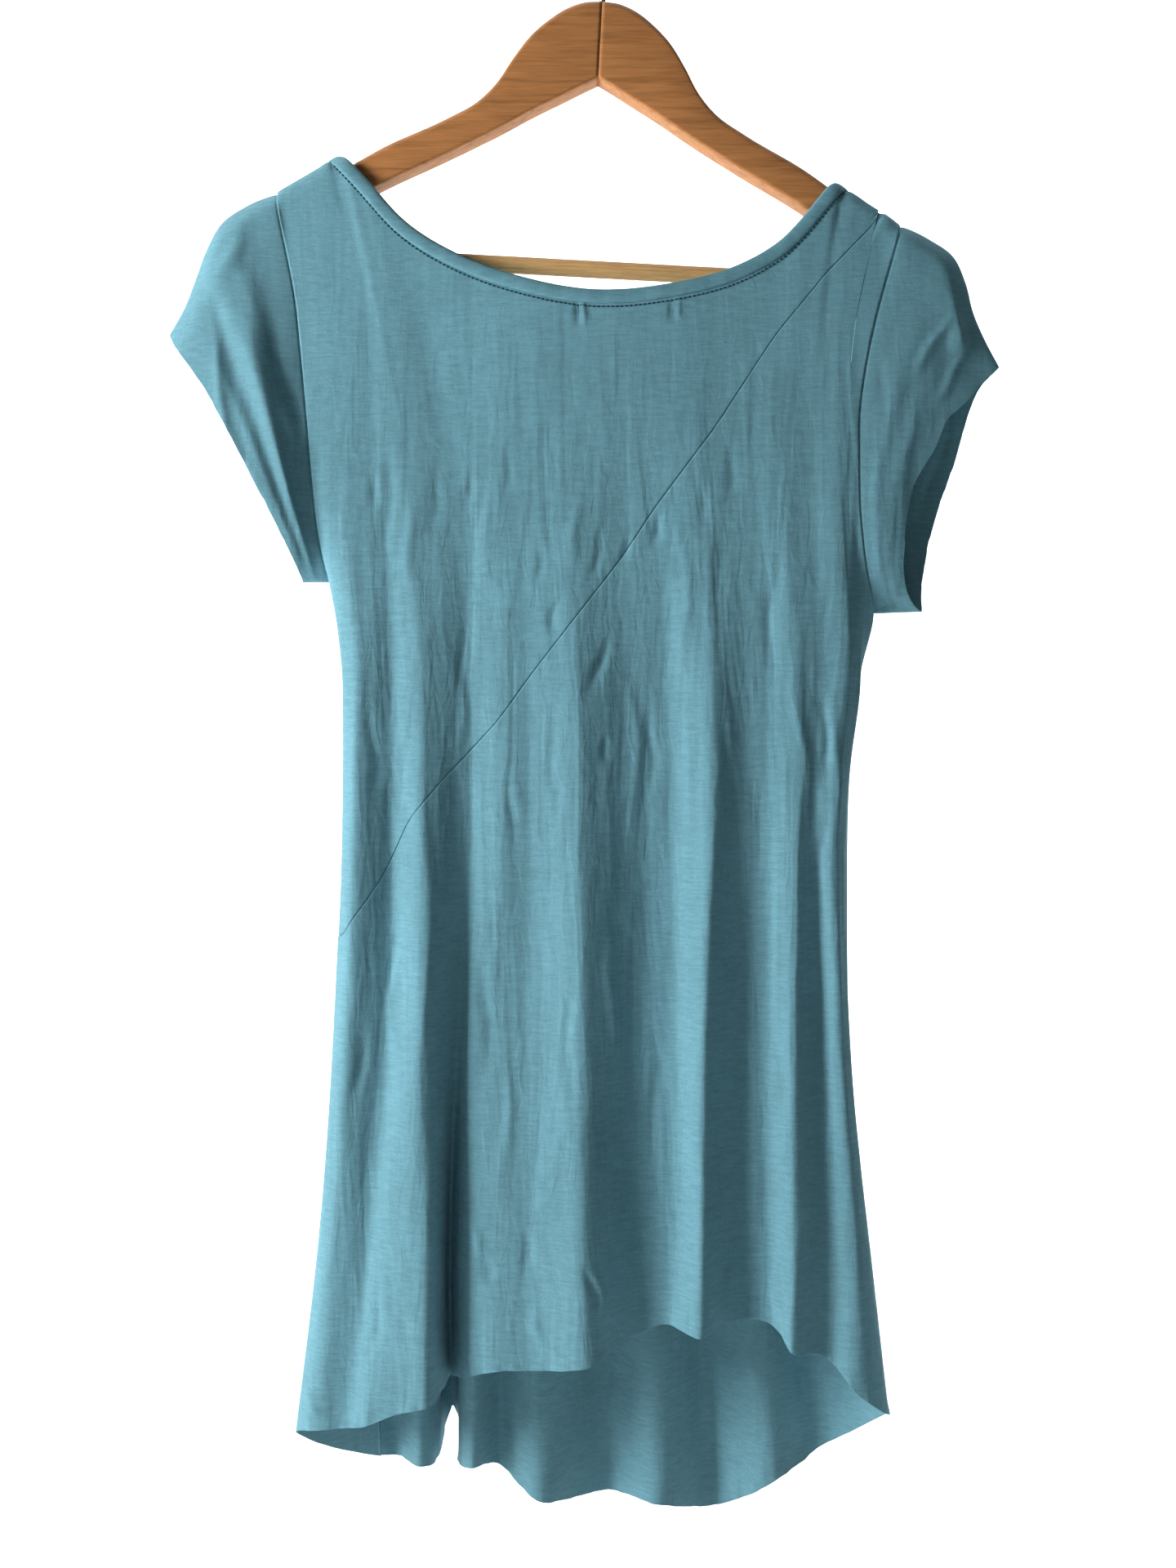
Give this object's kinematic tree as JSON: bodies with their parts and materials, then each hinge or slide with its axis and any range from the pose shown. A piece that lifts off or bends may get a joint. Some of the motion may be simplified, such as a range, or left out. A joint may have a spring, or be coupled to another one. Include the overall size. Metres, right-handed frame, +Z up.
{
  "type": "knit top on a wooden hanger",
  "caption": "Long cap-sleeved knit top with a wide scoop neck, a diagonal back seam and an uneven raw hem, hung in soft folds on a wooden hanger with a bar.",
  "frame": {"origin": "where the inside of the hook's bow bears on a rail, at the top of the hook's wire", "axes": "+Z up, +X to the right as the garment's back is seen, +Y from the garment's back to its front"},
  "size_m": [0.478, 0.099, 0.959],
  "materials": {
    "jersey": "matte, fine knit",
    "binding": "matte, folded strip",
    "hanger_wood": "satin varnish",
    "bar_wood": "plain turned wood",
    "hook_steel": "bright wire"
  },
  "bodies": {
    "root": {"back_upper": "jersey", "back_lower": "jersey", "front": "jersey", "sleeve_left": "jersey", "sleeve_right": "jersey", "neck_binding": "binding", "hanger_arm_left": "hanger_wood", "hanger_arm_right": "hanger_wood", "hanger_bar": "bar_wood", "hook": "hook_steel"}
  },
  "joints": []
}
